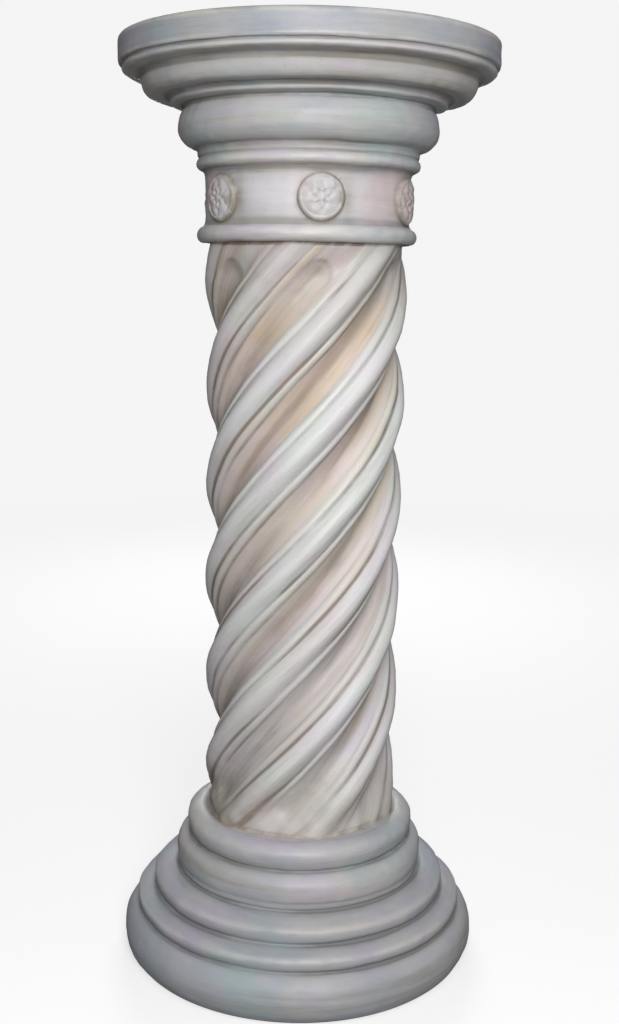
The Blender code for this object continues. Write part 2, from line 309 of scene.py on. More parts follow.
def beads(place):
    """The two thin beads of a strand, each one at its own centre."""
    return bulge(place, BEAD_LOW, BEAD_SHARE / 2) + bulge(place, BEAD_HIGH, BEAD_SHARE / 2)


def grooves(place, far_share):
    """Thin lines between the flute and its beads, the far one weaker by a share."""
    near = bell(across(place, BEAD_SHARE), GROOVE_SHARE)
    return near + far_share * bell(across(place, BEAD_SHARE + FLUTE_SHARE), GROOVE_SHARE)


print("a strand is %.1f mm wide and climbs at %.1f degrees" % (STRAND_WIDTH / MM, math.degrees(CLIMB)))

# %% One strand
REED_BULGE = 5.5 * MM
REED_POWER = 2.3
BEAD_BULGE = 2.2 * MM
FLUTE_DEPTH = 6.5 * MM
GROOVE_DEPTH = 1.1 * MM
FAR_GROOVE_SHARE = 0.7
ROPE_DEPTH = 8.5 * MM
ROPE_FADE = 30.0 * MM
FLUTE_FOOT_MARGIN = 22.0 * MM
FLUTE_HEAD_MARGIN = 28.0 * MM
FLUTE_RUN_OUT = 85.0 * MM
FLUTE_END_DEPTH = 0.45
FLUTE_END_POWER = 1.5
GROOVE_END_DEPTH = 0.2


def from_flute_ends(rise):
    """Distance up or down to the nearer end of the flutes."""
    return np.minimum(rise - FLUTE_FOOT_MARGIN, SHAFT_HEIGHT - FLUTE_HEAD_MARGIN - rise)


def flute_distance(place, rise):
    """Distance from the flute's centre line, in half widths; past the line's ends it grows all round."""
    sideways = across(place, FLUTE) * STRAND_WIDTH
    below = (FLUTE_FOOT_MARGIN - rise) / math.sin(CLIMB) - sideways * math.cos(CLIMB)
    above = (rise - SHAFT_HEIGHT + FLUTE_HEAD_MARGIN) / math.sin(CLIMB) + sideways * math.cos(CLIMB)
    past = np.maximum(np.maximum(below, above), 0.0)
    half_width = FLUTE_SHARE / 2 * STRAND_WIDTH * math.sin(CLIMB)
    return np.hypot(sideways * math.sin(CLIMB), past) / half_width


def strand_radius(place, rise):
    """Shaft radius less the rope's swell, the flute and its grooves, plus the reed and the two beads."""
    rope = (1 - np.cos(math.tau * across(place, REED))) / 2
    rope = rope * ease(rise / ROPE_FADE) * ease((SHAFT_HEIGHT - rise) / ROPE_FADE)
    radius = SHAFT_RADIUS - REED_BULGE - ROPE_DEPTH * rope
    radius = radius + REED_BULGE * bulge(place, REED, REED_SHARE / 2, REED_POWER)
    radius = radius + BEAD_BULGE * beads(place)
    full = ease(from_flute_ends(rise) / FLUTE_RUN_OUT)
    scoop = 1 - np.minimum(1.0, flute_distance(place, rise)) ** 2
    scoop = scoop ** grown(FLUTE_END_POWER, full) * grown(FLUTE_END_DEPTH, full)
    cut = grooves(place, FAR_GROOVE_SHARE) * grown(GROOVE_END_DEPTH, full)
    return radius - FLUTE_DEPTH * scoop - GROOVE_DEPTH * cut


for name, centre in (("reed crest", REED), ("flute bottom", FLUTE)):
    print("strand: %s %.1f mm from the axis" % (name, strand_radius(centre, SHAFT_HEIGHT / 2) / MM))

# %% [markdown]
# ## One continuous skin
# Base, shaft and cap become one grid: rows follow the outline upwards and columns go round.
# In the shaft each row is turned a little further than the one below, so that the columns run
# along the strands and a bead stays crisp with few faces. Above and below, the rows keep the turn
# that the shaft ends with, and nothing shows, because a turned form looks the same from all round.

# %% Columns and rows
COLUMNS_PER_MOULDING = (6, 14, 6, 14)
END_ROW_SPACING = 1.7 * MM
MIDDLE_ROW_SPACING = 6.0 * MM
END_LENGTH = 62.0 * MM


def column_places():
    """Places across one strand: each moulding's share cut into its own number of equal columns."""
    places, start = [], 0.0
    for share, count in zip((BEAD_SHARE, FLUTE_SHARE, BEAD_SHARE, REED_SHARE), COLUMNS_PER_MOULDING):
        places.append(start + share * np.arange(count) / count)
        start += share
    return np.concatenate(places)


def shaft_rises():
    """Rises of the shaft's rows: close together near both ends, where the flutes stop, and wider between."""
    ends = np.linspace(0.0, END_LENGTH, round(END_LENGTH / END_ROW_SPACING) + 1)
    count = round((SHAFT_HEIGHT - 2 * END_LENGTH) / MIDDLE_ROW_SPACING)
    middle = np.linspace(END_LENGTH, SHAFT_HEIGHT - END_LENGTH, count + 1)[1:-1]
    return np.concatenate([ends, middle, SHAFT_HEIGHT - ends[::-1]])


one_strand = column_places()
place = np.tile(one_strand, STRANDS)
still_turn = (np.repeat(np.arange(STRANDS), len(one_strand)) + place) * math.tau / STRANDS
rises = shaft_rises()
row_radius = np.concatenate([base[:, 0], np.zeros(len(rises)), cap[:, 0]])[:, None]
row_height = np.concatenate([base[:, 1], BASE_TOP + rises, cap[:, 1]])[:, None]
in_shaft = np.concatenate([np.zeros(len(base)), np.ones(len(rises)), np.zeros(len(cap))])[:, None]
row_rise = np.clip(row_height - BASE_TOP, 0.0, SHAFT_HEIGHT)
print("rows: %d in the base, %d in the shaft, %d in the cap" % (len(base), len(rises), len(cap)))

# %% Radius and turn of every point
EDGE_MELT = 0.2
END_MELT = 0.5
END_MELT_LENGTH = 55.0 * MM
MELT_REACH = 3


def melted(values, share):
    """Blend with the average over neighbouring columns, as repeated casting blurs a carved edge."""
    shifts = range(-MELT_REACH, MELT_REACH + 1)
    near = sum(np.roll(values, shift, axis=1) for shift in shifts) / len(shifts)
    return values * (1 - share) + near * share


turn = still_turn + FIRST_BEAD_TURN + math.tau * row_rise / TWIST_LEAD
near_foot = 1 - ease(row_rise / END_MELT_LENGTH)
near_ends = 1 - (1 - near_foot) * ease((SHAFT_HEIGHT - row_rise) / END_MELT_LENGTH)
shaft_radius = melted(strand_radius(place, row_rise), EDGE_MELT + END_MELT * near_ends)
radius = np.where(in_shaft > 0, shaft_radius, row_radius)
print("grid: %d rows by %d columns" % radius.shape)

# %% [markdown]
# ## The hand in the surface
# A casting taken from a carved model is never quite true. Sums of a few dozen sine waves in random
# directions, from a fixed seed, give a smooth waviness that has no seam anywhere. Long waves of
# half a millimetre make the light wander along a moulding, short ones soften the edges, and the
# foot of the shaft is lumpier than the rest.

# %% Waves and slopes


def waves(points, seed, length, count=28):
    """Sum of sine waves of about one length in random directions, scaled to lie mostly within one."""
    draw = np.random.default_rng(seed)
    total = np.zeros(points.shape[:-1])
    for _ in range(count):
        direction = draw.normal(size=3)
        direction *= math.tau / (length * draw.uniform(0.7, 1.5)) / np.linalg.norm(direction)
        total += np.sin(points @ direction + draw.uniform(0.0, math.tau))
    return total / math.sqrt(count / 2) / 1.6


def grid_normals(points):
    """Cross product of the grid's two slopes, at unit length; the columns wrap round."""
    along = np.gradient(points, axis=0)
    around = np.roll(points, -1, axis=1) - np.roll(points, 1, axis=1)
    normal = np.cross(around, along)
    return normal / np.maximum(np.linalg.norm(normal, axis=-1, keepdims=True), 1e-12)


points = np.stack([radius * np.sin(turn), -radius * np.cos(turn),
                   np.broadcast_to(row_height, radius.shape)], axis=-1)
normals = grid_normals(points)
print("normals: %.3f of them point up" % (normals[..., 2] > 0).mean())

# %% [markdown]
# ## Hollow and proud
# Dirt and painted shade go into creases and a rag rubs the edges, so each point needs to know which
# of the two it is. The middle of two neighbours stands off the surface on the outer side in a crease
# and on the inner side at an edge. A short reach finds creases, and a long one finds broad hollows,
# which get painted shade, as do the parts that face down.

# %% Measure the hollows
CREASE_REACH, CREASE_COLUMNS, CREASE_GAIN, EDGE_GAIN = 5.0 * MM, 2, 3.2, 2.2
SHADE_REACH, SHADE_COLUMNS, SHADE_GAIN = 14.0 * MM, 7, 2.4
PAINTED_SHADE_SHARE = 0.75
SMALLEST_GAP = 0.3 * MM


def hollowness(points, normals, reach, columns):
    """How far the middle of two neighbours stands off the surface, in shares of the way to them."""
    size = np.linalg.norm(np.diff(points, axis=0), axis=-1).mean(axis=1)
    station = np.concatenate([[0.0], np.cumsum(size)])
    middle = np.zeros_like(points)
    for step in (reach, -reach):
        index = np.interp(station + step, station, np.arange(len(station)))
        whole = np.minimum(index.astype(int), len(station) - 2)
        part = (index - whole)[:, None, None]
        middle += (points[whole] * (1 - part) + points[whole + 1] * part) / 2
    lengthwise = np.sum((middle - points) * normals, axis=-1) / reach
    ahead, behind = np.roll(points, columns, axis=1), np.roll(points, -columns, axis=1)
    gap = np.linalg.norm(ahead - behind, axis=-1) / 2
    sideways = np.sum(((ahead + behind) / 2 - points) * normals, axis=-1)
    return lengthwise, sideways / np.maximum(gap, SMALLEST_GAP)


def limited(values):
    """Nothing below zero and nothing above one."""
    return np.clip(values, 0.0, 1.0)


along, around = hollowness(points, normals, CREASE_REACH, CREASE_COLUMNS)
hollow = limited(np.maximum(along, in_shaft * around) * CREASE_GAIN)
proud = limited(-np.minimum(along, in_shaft * around) * EDGE_GAIN)
# Painted shade: broad hollows and the parts that face down are darkened in the finish.
along, around = hollowness(points, normals, SHADE_REACH, SHADE_COLUMNS)
wide_hollow = limited(np.maximum(along, in_shaft * around) * SHADE_GAIN)
painted_shade_mask = limited(PAINTED_SHADE_SHARE * (wide_hollow + limited(-normals[..., 2])))
print("creases: %.2f of the skin" % (hollow > 0.5).mean())

# %% Move the points
LONG_WAVE, LONG_WAVE_DEPTH = 70.0 * MM, 0.5 * MM
SHORT_WAVE, SHORT_WAVE_DEPTH = 14.0 * MM, 0.18 * MM
FOOT_LUMP, FOOT_LUMP_DEPTH = 24.0 * MM, 0.9 * MM
FLAT_FADE = 6.0 * MM
TOP_GUARD = 1.0 * MM
UNDERSIDE_GUARD = 0.5 * MM

flat_ends = ease((HEIGHT - TOP_GUARD - row_height) / FLAT_FADE)
flat_ends = flat_ends * ease((row_height - UNDERSIDE_GUARD) / FLAT_FADE)
sway = LONG_WAVE_DEPTH * (waves(points, 11, LONG_WAVE) - 1)
sway = sway + SHORT_WAVE_DEPTH * (waves(points, 12, SHORT_WAVE) - 1)
sway = sway + FOOT_LUMP_DEPTH * in_shaft * near_foot * (waves(points, 13, FOOT_LUMP) - 1)
points = points + normals * (sway * flat_ends)[..., None]
print("waviness: %.2f to %.2f mm" % (sway.min() / MM, sway.max() / MM))

# %% [markdown]
# ## Rosettes to come
# Six round discs will sit on the neck. Their places are settled now, because the neck around them
# also holds a little dirt: each point of the skin gets its distance to the nearest disc's middle.

# %% Rosette places
ROSETTES = 6
ROSETTE_RADIUS = 21.5 * MM
FIRST_ROSETTE_TURN = math.radians(7.0)
ROSETTE_RISE = 23.0 * MM
NECK_BOTTOM = CAP_BOTTOM + LOW_ASTRAGAL_HEIGHT
HALO_WIDTH = 2.6 * MM
SMEAR_WIDTH = 8.0 * MM
SMEAR_HEIGHT = 17.0 * MM
SMEAR_ASIDE = ROSETTE_RADIUS + 1.0 * MM
SMEAR_SHARE = 0.8


def rosette_halo(distance, angle):
    """Where dust gathers round a rosette: a soft ring at its edge and a smear on its right side."""
    leaning = 0.75 + 0.25 * np.cos(angle + math.radians(35.0))
    ring = bell(distance - ROSETTE_RADIUS, HALO_WIDTH) * leaning
    aside, upward = distance * np.cos(angle), distance * np.sin(angle)
    smear = bell(aside - SMEAR_ASIDE, SMEAR_WIDTH) * bell(upward, SMEAR_HEIGHT)
    return np.maximum(ring, SMEAR_SHARE * smear)


rosette_pitch = math.tau / ROSETTES
turn_from_rosette = (turn - FIRST_ROSETTE_TURN + rosette_pitch / 2) % rosette_pitch - rosette_pitch / 2
beside_rosette = turn_from_rosette * NECK_RADIUS
over_rosette = np.broadcast_to(row_height - NECK_BOTTOM - ROSETTE_RISE, turn.shape)
halo = rosette_halo(np.hypot(beside_rosette, over_rosette), np.arctan2(over_rosette, beside_rosette))
print("rosettes stand %.1f mm apart along the neck" % (rosette_pitch * NECK_RADIUS / MM))

# %% [markdown]
# ## What the finish needs to know
# The wash that ages the stone sits where a brush and a rag leave it: dark in the creases, where
# painted shade darkens it further, tan in the flutes, rubbed pale on the reeds. Painted shade also
# goes on the parts that face down. Each of these becomes a number on every point of the skin,
# which the material reads by name.

# %% Masks for the mouldings
FLUTE_INNER, FLUTE_BLEND = 0.75, 0.45
FLUTE_END_TONE, FLUTE_TONE_EARLY, FLUTE_TONE_RUN = 0.25, 12.0 * MM, 70.0 * MM
REED_REACH = REED_SHARE * 0.62
FOOT_DUST_HEIGHT = 75.0 * MM
NECK_MARGIN = 0.5 * MM

flute_place = flute_distance(place, row_rise)
from_ends = from_flute_ends(row_rise)
flute_mask = in_shaft * (1 - ease((flute_place - FLUTE_INNER) / FLUTE_BLEND))
flute_mask = flute_mask * grown(FLUTE_END_TONE, ease((from_ends + FLUTE_TONE_EARLY) / FLUTE_TONE_RUN))
reed_mask = in_shaft * limited(bulge(place, REED, REED_REACH))
bead_mask = in_shaft * limited(beads(place))
foot_mask = in_shaft * (1 - ease(row_rise / FOOT_DUST_HEIGHT))
above_neck_bottom = row_height - NECK_BOTTOM
in_neck = (above_neck_bottom > -NECK_MARGIN) & (above_neck_bottom < NECK_HEIGHT + NECK_MARGIN)
neck_mask = in_neck * (1 - in_shaft)
print("flute share of the skin: %.2f" % (flute_mask > 0.5).mean())

# %% [markdown]
# Three kinds of dark line, of wash and painted shade, are added to the measured creases: an arch
# round the head of each flute, a thin line in each groove, and a broad one beside each reed at the
# foot of the shaft, where the carving itself has nearly melted away and the line stands in for its crease's
# shade.

# %% Lines of wash and painted shade
LINE_RUN = 60.0 * MM
ARCH_WASH_AND_SHADE, ARCH_PLACE, ARCH_WIDTH = 0.42, 0.92, 0.20
GROOVE_WASH_AND_SHADE, FAR_GROOVE_WASH_AND_SHADE, GROOVE_LINE_EARLY = 0.62, 0.6, 5.0 * MM
REED_SIDE_WASH_AND_SHADE, REED_SIDE, REED_SIDE_WIDTH = 0.95, -0.01, 0.055
FAR_REED_SIDE_WASH_AND_SHADE, FAR_REED_SIDE_WIDTH = 0.6, 0.045
FOOT_LINE_START = 10.0 * MM

below_head = SHAFT_HEIGHT - FLUTE_HEAD_MARGIN - row_rise
arch = bell(flute_place - ARCH_PLACE, ARCH_WIDTH) * in_shaft * (1 - ease(below_head / LINE_RUN))
along_flutes = in_shaft * ease((from_ends + GROOVE_LINE_EARLY) / LINE_RUN)
groove_lines = along_flutes * grooves(place, FAR_GROOVE_WASH_AND_SHADE)
reed_sides = bell(across(place, REED_SIDE), REED_SIDE_WIDTH)
reed_sides = reed_sides + FAR_REED_SIDE_WASH_AND_SHADE * bell(across(place, 1 - REED_SHARE), FAR_REED_SIDE_WIDTH)
foot_lines = in_shaft * (1 - ease((row_rise - FOOT_LINE_START) / LINE_RUN)) * reed_sides
for wash, lines in ((ARCH_WASH_AND_SHADE, arch), (GROOVE_WASH_AND_SHADE, groove_lines), (REED_SIDE_WASH_AND_SHADE, foot_lines)):
    hollow = np.maximum(hollow, wash * lines)
print("creases with painted lines: %.2f of the skin" % (hollow > 0.5).mean())

# %% [markdown]
# A vector that runs slowly along a strand and quickly across it lets noise stretch into brush
# strokes that follow the twist. On the turned parts the strokes go round instead.

# %% The brush's direction
STROKE_STRETCH = 9.0


def stacked(*parts):
    """Three arrays, brought to the grid's shape, side by side as one vector per point."""
    return np.stack([np.broadcast_to(part, radius.shape) for part in parts], axis=-1)


brush_shaft = stacked(SHAFT_RADIUS * np.cos(still_turn), SHAFT_RADIUS * np.sin(still_turn),
                      row_rise / STROKE_STRETCH)
brush_turned = stacked(radius * np.cos(turn) / STROKE_STRETCH, radius * np.sin(turn) / STROKE_STRETCH,
                       row_height + radius)
brush = np.where(in_shaft[..., None] > 0, brush_shaft, brush_turned)
print("strokes are drawn out %.0f times" % STROKE_STRETCH)

# %% [markdown]
# ## From grid to mesh
# A grid becomes a mesh with one quad between each pair of rows and columns. The columns wrap
# round, so there is no seam, and both ends are closed by a fan of triangles to a single point.

# %% Skin


def skin(name, grid, numbers, vectors, start, end):
    """Quads between neighbouring rows and columns, the columns wrapped, and a fan to a point at each end."""
    rows, columns = grid.shape[:2]
    index = np.arange(rows * columns).reshape(rows, columns)
    after = np.roll(index, -1, axis=1)
    quads = np.stack([index[:-1], after[:-1], after[1:], index[1:]], axis=-1).reshape(-1, 4)
    first, last = np.full(columns, rows * columns), np.full(columns, rows * columns + 1)
    fans = np.vstack([np.column_stack([first, after[0], index[0]]),
                      np.column_stack([last, index[-1], after[-1]])])
    every = np.vstack([grid.reshape(-1, 3), start, end])
    mesh = bpy.data.meshes.new(name)
    mesh.from_pydata(every.tolist(), [], quads.tolist() + fans.tolist())
    for label, values in numbers.items():
        values = np.broadcast_to(values, (rows, columns))
        flat = np.concatenate([values.ravel(), [values[0].mean(), values[-1].mean()]])
        layer = mesh.attributes.new(label, "FLOAT", "POINT")
        layer.data.foreach_set("value", flat.astype(np.float32))
    for label, values in vectors.items():
        flat = np.vstack([values.reshape(-1, 3), values[0].mean(axis=0), values[-1].mean(axis=0)])
        layer = mesh.attributes.new(label, "FLOAT_VECTOR", "POINT")
        layer.data.foreach_set("vector", flat.astype(np.float32).ravel())
    mesh.shade_smooth()
    mesh.update()
    piece = bpy.data.objects.new(name, mesh)
    bpy.context.scene.collection.objects.link(piece)
    return piece


skin_numbers = {"hollow": hollow, "painted_shade_mask": painted_shade_mask, "proud": proud, "flute": flute_mask, "reed": reed_mask,
                "bead": bead_mask, "foot": foot_mask, "shaft": in_shaft, "neck": neck_mask,
                "halo": halo * neck_mask}
casting = skin("casting", points, skin_numbers, {"brush": brush},
               np.array([[0.0, 0.0, 0.0]]), np.array([[0.0, 0.0, HEIGHT]]))
print("casting: %d faces" % len(casting.data.polygons))

# %% [markdown]
# ## The rosettes
# Six round discs sit on the neck, each a little flower in a raised ring. A disc is a polar grid:
# rows go out from the middle and columns go round. One formula gives its height: a boss, a ring
# of small petals, a ring of large ones turned by half a petal, and the frame. The last rows turn
# down and run into the neck, so that the disc is closed behind. Last, the disc is bent round the
# neck, as if it were pressed on to it while soft.

# %% Carving of a rosette
PETALS = 6
BOSS_RADIUS, BOSS_HEIGHT = 4.8 * MM, 1.8 * MM
SMALL_PETALS = (3.0 * MM, 11.5 * MM, 1.8 * MM)
LARGE_PETALS = (6.0 * MM, 18.0 * MM, 1.6 * MM)
FRAME_RADIUS, FRAME_HALF_WIDTH, FRAME_HEIGHT = 18.4 * MM, 1.9 * MM, 0.8 * MM


def petal_ring(distance, angle, inner, outer, height, turn_by):
    """Petals between two radii: a rounded hump outwards times a rounded hump round."""
    outwards = limited((distance - inner) / (outer - inner))
    hump = np.sin(math.pi * outwards ** 0.85) ** 0.8
    round_hump = np.abs(np.cos(PETALS / 2 * (angle - turn_by)))
    return height * hump * round_hump ** 0.75


def rosette_height(distance, angle):
    """Boss, two rings of petals and a half-round frame; the highest of them counts at each point."""
    boss = BOSS_HEIGHT * np.sqrt(limited(1 - (distance / BOSS_RADIUS) ** 2))
    small = petal_ring(distance, angle, *SMALL_PETALS, math.pi / PETALS)
    large = petal_ring(distance, angle, *LARGE_PETALS, 0.0)
    ring = FRAME_HEIGHT * limited(1 - ((distance - FRAME_RADIUS) / FRAME_HALF_WIDTH) ** 2)
    return np.maximum(np.maximum(boss, small), np.maximum(large, ring))


print("rosette: the middle stands %.1f mm proud of its face" % (rosette_height(0.0, 0.0) / MM))

# %% One rosette
ROSETTE_RELIEF = 3.2 * MM
ROSETTE_ROOT = 4.0 * MM
ROSETTE_DOME = 1.0 * MM
ROSETTE_EDGE = 1.8 * MM
ROSETTE_MIDDLE = 0.6 * MM
FACE_ROWS, CORNER_ROWS, WALL_ROWS = 44, 6, 6
ROSETTE_COLUMNS = 96
ROSETTE_WEAR, ROSETTE_WEAR_LENGTH = 0.3 * MM, 7.5 * MM
ROSETTE_REACH, ROSETTE_REACH_COLUMNS = 1.2 * MM, 3
ROSETTE_CREASE_GAIN = 0.7
ROSETTE_PAINTED_SHADE = 0.15
ROSETTE_DUST = 0.2


def rosette_grid():
    """Polar grid of the face, then a rounded edge and a wall down into the neck."""
    face = np.linspace(ROSETTE_MIDDLE, ROSETTE_RADIUS - ROSETTE_EDGE, FACE_ROWS)
    corner = np.linspace(0.0, math.pi / 2, CORNER_ROWS)[1:]
    edge = ROSETTE_RADIUS - ROSETTE_EDGE + ROSETTE_EDGE * np.sin(corner)
    drop = -ROSETTE_EDGE * (1 - np.cos(corner))
    wall = np.linspace(-ROSETTE_EDGE - 1.0 * MM, -ROSETTE_RELIEF - ROSETTE_ROOT, WALL_ROWS)
    distance = np.concatenate([face, edge, np.full(len(wall), ROSETTE_RADIUS)])[:, None]
    lift = np.concatenate([np.zeros(len(face)), drop, wall])[:, None]
    angle = np.arange(ROSETTE_COLUMNS)[None, :] * math.tau / ROSETTE_COLUMNS
    carving = rosette_height(distance, angle) * (lift >= 0)
    dome = ROSETTE_DOME * (1 - (distance / ROSETTE_RADIUS) ** 2)
    return distance, angle, ROSETTE_RELIEF + lift + dome + carving


def round_the_neck(facing, aside, upward, lift):
    """Bends flat places on to the neck: an arc of the same length sideways, the lift straight outwards."""
    angle = facing + aside / NECK_RADIUS
    reach = NECK_RADIUS + lift
    height = NECK_BOTTOM + ROSETTE_RISE + upward
    return np.stack([reach * np.sin(angle), -reach * np.cos(angle), height + 0 * angle], axis=-1)


def rosette(number):
    """One rosette at its own place round the neck, worn a little differently from the others."""
    distance, angle, high = rosette_grid()
    facing = FIRST_ROSETTE_TURN + rosette_pitch * number
    aside, upward = distance * np.cos(angle), distance * np.sin(angle)
    grid = round_the_neck(facing, aside, upward, high)
    along, beside = hollowness(grid, -grid_normals(grid), ROSETTE_REACH, ROSETTE_REACH_COLUMNS)
    curve = np.where(np.abs(along) > np.abs(beside), along, beside)[:, ::-1]
    worn = ROSETTE_WEAR * (waves(grid, 21 + number, ROSETTE_WEAR_LENGTH) - 0.6) * (high > 0)
    grid = round_the_neck(facing, aside, upward, high + worn)[:, ::-1]
    middle = np.zeros(1)
    front = round_the_neck(facing, middle, middle, middle + high[0].mean())
    back = round_the_neck(facing, middle, middle, middle - ROSETTE_ROOT)
    dusted = limited(rosette_halo(distance, angle)[:, ::-1] + ROSETTE_DUST)
    # The rosettes take a little painted shade all over.
    numbers = {"hollow": limited(curve * ROSETTE_CREASE_GAIN), "proud": limited(-curve),
               "painted_shade_mask": ROSETTE_PAINTED_SHADE, "halo": dusted, "neck": 1.0}
    numbers.update({label: 0.0 for label in ("flute", "reed", "bead", "foot", "shaft")})
    return skin("rosette_%d" % (number + 1), grid, numbers, {"brush": grid}, front, back)


rosettes = [rosette(number) for number in range(ROSETTES)]
print("rosettes: %d, each of %d faces" % (len(rosettes), len(rosettes[0].data.polygons)))

# %% [markdown]
# ## Shader arithmetic
# A finish is mostly sums and products of masks. Wrapping a socket in a small class that knows
# plus, minus and times lets those be written as ordinary expressions, and each adds its own Math
# node. Every other node comes from one method.

# %% A wrapped socket


class Wire:
    """A shader socket that can be added, subtracted, multiplied and clipped."""

    def __init__(self, finish, socket):
        self.finish = finish
        self.socket = socket

    def combined(self, operation, *values):
        return self.finish.node("ShaderNodeMath", {"operation": operation}, dict(enumerate(values)))

    def __add__(self, other):
        return self.combined("ADD", self, other)

    def __sub__(self, other):
        return self.combined("SUBTRACT", self, other)

    def __rsub__(self, other):
        return self.combined("SUBTRACT", other, self)

    def __mul__(self, other):
        return self.combined("MULTIPLY", self, other)

    def clipped(self):
        return self.finish.node("ShaderNodeClamp", {}, {"Value": self})

    __radd__ = __add__
    __rmul__ = __mul__


class Finish:
    """One material, with a method that makes any node and hands back one of its outputs as a Wire."""

    def __init__(self, name):
        self.material = bpy.data.materials.new(name)
        self.material.use_nodes = True
        self.tree = self.material.node_tree
        self.shader = self.tree.nodes["Principled BSDF"]

    def node(self, kind, settings, inputs, output=0):
        made = self.tree.nodes.new(kind)
        for key, value in settings.items():
            setattr(made, key, value)
        for key, value in inputs.items():
            self.put(made.inputs[key], value)
        return Wire(self, made.outputs[output])

    def put(self, socket, value):
        if isinstance(value, Wire):
            self.tree.links.new(value.socket, socket)
        else:
            socket.default_value = value

    def shade(self, values):
        for label, value in values.items():
            self.put(self.shader.inputs[label], value)

    def number(self, label):
        return self.node("ShaderNodeAttribute", {"attribute_name": label}, {}, "Fac")

    def vector(self, label):
        return self.node("ShaderNodeAttribute", {"attribute_name": label}, {}, "Vector")

    def noise(self, vector, scale, detail, roughness):
        inputs = {"Vector": vector, "Scale": scale, "Detail": detail, "Roughness": roughness}
        return self.node("ShaderNodeTexNoise", {"noise_dimensions": "3D"}, inputs)

    def spread(self, value, low, high):
        inputs = {"Value": value, "From Min": low, "From Max": high}
        return self.node("ShaderNodeMapRange", {"interpolation_type": "SMOOTHSTEP"}, inputs)

    def blend(self, share, one, other, kind="MIX"):
        settings = {"data_type": "RGBA", "blend_type": kind, "clamp_factor": True}
        return self.node("ShaderNodeMix", settings, {0: share, 6: one, 7: other}, 2)

    def layered(self, tone, *layers):
        for share, colour in layers:
            tone = self.blend(share, tone, colour)
        return tone

    def tinted(self, tone, *layers):
        for share, colour in layers:
            tone = self.blend(share, tone, colour, "MULTIPLY")
        return tone


def paint(red, green, blue):
    """A colour as a painter names it, 0 to 255 in each, turned into the light that it reflects."""
    shares = [value / 255 for value in (red, green, blue)]
    linear = [s / 12.92 if s <= 0.04045 else ((s + 0.055) / 1.055) ** 2.4 for s in shares]
    return (*linear, 1.0)


print("middle grey paint reflects %.3f of the light" % paint(128, 128, 128)[0])

# %% [markdown]
# ## The antique wash and painted shade
# The stone is painted: cool grey on the mouldings, nearly white on the shaft. Over it goes a thin
# brown wash that is wiped off while wet. It stays as tan and peach in the flutes, as olive brown in
# the creases, and as faint strokes along the strands. Painted shade darkens the creases further,
# the parts that face down, the broad hollows, the base, the rim and, with some dirt, the head of
# the shaft. Last, high edges are rubbed pale. All layers share a handful of noises: some lie in
# space, and some are drawn out along the brush.

# %% Noises and heights that the layers share
LOOSE_BRUSH = (1.0, 1.0, 3.6)
# Heights in metres between which a share grows from nothing to one.
BASE_SHADE_HEIGHTS = (0.21, 0.15)
LOW_ROLLS_SHADE_HEIGHTS = (0.11, 0.085)
RIM_SHADE_HEIGHTS = (0.868, 0.882)
WARM_HEIGHTS = (0.18, 0.60)
SHAFT_HEAD_SHADE_HEIGHTS = (0.58, 0.70)
CAP_HEIGHTS = (0.2, 0.7)


def shared_noises(finish):
    """Cloudy and streaky noises under their own names, and the height above the floor."""
    space = finish.node("ShaderNodeTexCoord", {}, {}, "Object")
    brush = finish.vector("brush")
    loose = finish.node("ShaderNodeVectorMath", {"operation": "MULTIPLY"}, {0: brush, 1: LOOSE_BRUSH})
    return SimpleNamespace(
        height=finish.node("ShaderNodeSeparateXYZ", {}, {0: space}, 2),
        clouds=finish.noise(space, 9.0, 4.0, 0.55),
        tints=finish.noise(space, 13.0, 3.0, 0.5),
        grain=finish.noise(space, 420.0, 3.0, 0.6),
        drifts=finish.noise(loose, 24.0, 5.0, 0.6),
        stains=finish.noise(loose, 14.0, 5.0, 0.65),
        strokes=finish.noise(brush, 70.0, 5.0, 0.6),
        fine_strokes=finish.noise(brush, 240.0, 4.0, 0.6))


# %% Paint of the mouldings


def cool_mouldings(finish, noise):
    """Pale grey with drifts of lilac, green and rose; painted shade darkens the base, its lowest rolls more,
    and the rim; the neck is paler.
    """
    ground = finish.layered(
        paint(180, 182, 187),
        (finish.spread(noise.clouds, 0.38, 0.60), paint(193, 190, 188)),
        (finish.spread(noise.tints, 0.52, 0.68) * 0.75, paint(190, 181, 194)),
        (finish.spread(noise.tints, 0.48, 0.34) * 0.75, paint(174, 188, 186)),
        (finish.spread(noise.drifts, 0.54, 0.70) * 0.45, paint(196, 183, 176)),
        (finish.spread(noise.stains, 0.50, 0.66) * 0.5, paint(160, 154, 138)))
    # Painted shade: the base, its lowest rolls and the rim are darkened.
    ground = finish.tinted(
        ground,
        (finish.spread(noise.height, *BASE_SHADE_HEIGHTS), paint(245, 245, 247)),
        (finish.spread(noise.height, *LOW_ROLLS_SHADE_HEIGHTS), paint(242, 245, 248)),
        (finish.spread(noise.height, *RIM_SHADE_HEIGHTS), paint(219, 223, 226)))
    neck = finish.blend(finish.spread(noise.clouds, 0.42, 0.58), paint(205, 191, 192), paint(203, 201, 204))
    return finish.blend(finish.number("neck"), ground, neck)


# %% Paint of the shaft


